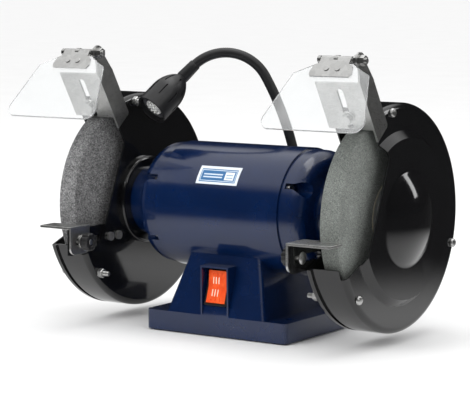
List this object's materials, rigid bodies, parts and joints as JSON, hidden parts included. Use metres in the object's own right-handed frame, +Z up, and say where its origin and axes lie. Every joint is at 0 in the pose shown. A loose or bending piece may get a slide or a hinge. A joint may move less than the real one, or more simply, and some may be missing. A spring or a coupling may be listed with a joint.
{
  "type": "bench grinder",
  "caption": "Double-ended bench grinder with sheet spark guards, adjustable tool rests, hinged eye shields and a gooseneck work lamp on a cast pedestal.",
  "frame": {"origin": "on the bench, midway between the four bench bolts, under the middle of the motor", "axes": "+X along the spindle to the operator's right, -Y towards the operator, +Z up"},
  "size_m": [0.413, 0.2395, 0.2831],
  "materials": {
    "navy_paint": "gloss",
    "black_paint": "gloss",
    "zinc": "satin",
    "bright_steel": "satin",
    "lamination": "matt",
    "copper": "gloss",
    "aluminium": "satin",
    "dark_abrasive": "coarse grit",
    "grey_abrasive": "fine grit",
    "card": "matt",
    "black_plastic": "fine texture",
    "pale_plastic": "satin",
    "orange_plastic": "translucent gloss",
    "rubber": "matt",
    "clear_plastic": "clear polycarbonate",
    "label": "printed foil",
    "led_white": "clear domes on a white board"
  },
  "bodies": {
    "stand": {"base_casting": "navy_paint", "bottom_cover": "zinc", "bottom_cover_screws": "zinc", "rubber_feet": "rubber", "motor_shell": "navy_paint", "end_bell_left": "navy_paint", "end_bell_right": "navy_paint", "through_bolts": "zinc", "through_bolt_nuts": "zinc", "stator_core": "lamination", "stator_windings": "copper", "bearing_outer_rings": "bright_steel", "bearing_balls": "bright_steel", "run_capacitor": "aluminium", "terminal_block": "pale_plastic", "switch_frame": "black_plastic", "cord_gland": "black_plastic", "name_plate": "label", "guard_left_drum": "black_paint", "guard_left_lid": "black_paint", "guard_right_drum": "black_paint", "guard_right_lid": "black_paint", "guard_long_screws": "zinc", "guard_long_nuts": "zinc", "guard_mount_screws": "zinc", "rest_arm_left": "black_paint", "rest_arm_right": "black_paint", "accessory_screws": "zinc", "bracket_clamp_bolts": "zinc", "lamp_bracket": "navy_paint"},
    "rotor": {"shaft": "bright_steel", "rotor_core": "lamination", "rotor_end_rings": "aluminium", "bearing_inner_rings": "bright_steel", "wheel_left": "dark_abrasive", "wheel_right": "grey_abrasive", "inner_flanges": "bright_steel", "outer_flanges": "bright_steel", "blotters": "card", "spindle_nuts": "zinc"},
    "rocker": {"switch_rocker": "orange_plastic"},
    "rest_left": {"tool_rest_left": "zinc", "rest_bolt_left": "zinc"},
    "rest_right": {"tool_rest_right": "zinc", "rest_bolt_right": "zinc"},
    "knob_left": {"rest_knob_left": "black_plastic"},
    "knob_right": {"rest_knob_right": "black_plastic"},
    "bracket_left": {"shield_bracket_left": "zinc", "shield_hinge_bolt_left": "zinc"},
    "bracket_right": {"shield_bracket_right": "zinc", "shield_hinge_bolt_right": "zinc"},
    "shield_left": {"shield_leaf_left": "zinc", "eye_shield_left": "clear_plastic"},
    "shield_right": {"shield_leaf_right": "zinc", "eye_shield_right": "clear_plastic"},
    "lamp_stem": {"lamp_ferrule": "zinc", "gooseneck_lower": "black_plastic"},
    "lamp_neck": {"gooseneck_upper": "black_plastic"},
    "lamp": {"lamp_head": "black_plastic", "lamp_lens": "led_white"}
  },
  "joints": [
    {"name": "spindle_spin", "type": "hinge", "parent": "stand", "child": "rotor", "pos_m": [0, 0, 0.122], "axis": [1, 0, 0], "continuous": true},
    {"name": "switch_rock", "type": "hinge", "parent": "stand", "child": "rocker", "pos_m": [0, -0.05237, 0.048], "axis": [1, 0, 0], "range_deg": [-12, 0]},
    {"name": "rest_left_slide", "type": "slide", "parent": "stand", "child": "rest_left", "axis": [0, 1, 0], "range_m": [-0.0095, 0.001]},
    {"name": "knob_left_turn", "type": "hinge", "parent": "rest_left", "child": "knob_left", "pos_m": [-0.1305, -0.107, 0.0903], "axis": [1, 0, 0], "range_deg": [0, 270]},
    {"name": "rest_right_slide", "type": "slide", "parent": "stand", "child": "rest_right", "axis": [0, 1, 0], "range_m": [-0.0095, 0.001]},
    {"name": "knob_right_turn", "type": "hinge", "parent": "rest_right", "child": "knob_right", "pos_m": [0.1305, -0.107, 0.0943], "axis": [-1, 0, 0], "range_deg": [0, 270]},
    {"name": "bracket_left_slide", "type": "slide", "parent": "stand", "child": "bracket_left", "axis": [0, -0.5, 0.866], "range_m": [-0.002, 0.009]},
    {"name": "bracket_right_slide", "type": "slide", "parent": "stand", "child": "bracket_right", "axis": [0, -0.5, 0.866], "range_m": [-0.002, 0.009]},
    {"name": "shield_left_hinge", "type": "hinge", "parent": "bracket_left", "child": "shield_left", "pos_m": [-0.1524, -0.07898, 0.27559], "axis": [-1, 0, 0], "range_deg": [-22, 50]},
    {"name": "shield_right_hinge", "type": "hinge", "parent": "bracket_right", "child": "shield_right", "pos_m": [0.1516, -0.07898, 0.27559], "axis": [-1, 0, 0], "range_deg": [-22, 50]},
    {"name": "lamp_swivel", "type": "hinge", "parent": "stand", "child": "lamp_stem", "pos_m": [0.0056, 0.077, 0.136], "axis": [0, 0, 1], "range_deg": [0, 45]},
    {"name": "lamp_flex", "type": "hinge", "parent": "lamp_stem", "child": "lamp_neck", "pos_m": [-0.02098, 0.05839, 0.24815], "axis": [-0.5736, 0.8192, 0], "range_deg": [-5, 20]},
    {"name": "lamp_head_tilt", "type": "hinge", "parent": "lamp_neck", "child": "lamp", "pos_m": [-0.08897, 0.01078, 0.24911], "axis": [-0.5736, 0.8192, 0], "range_deg": [-25, 4]}
  ]
}
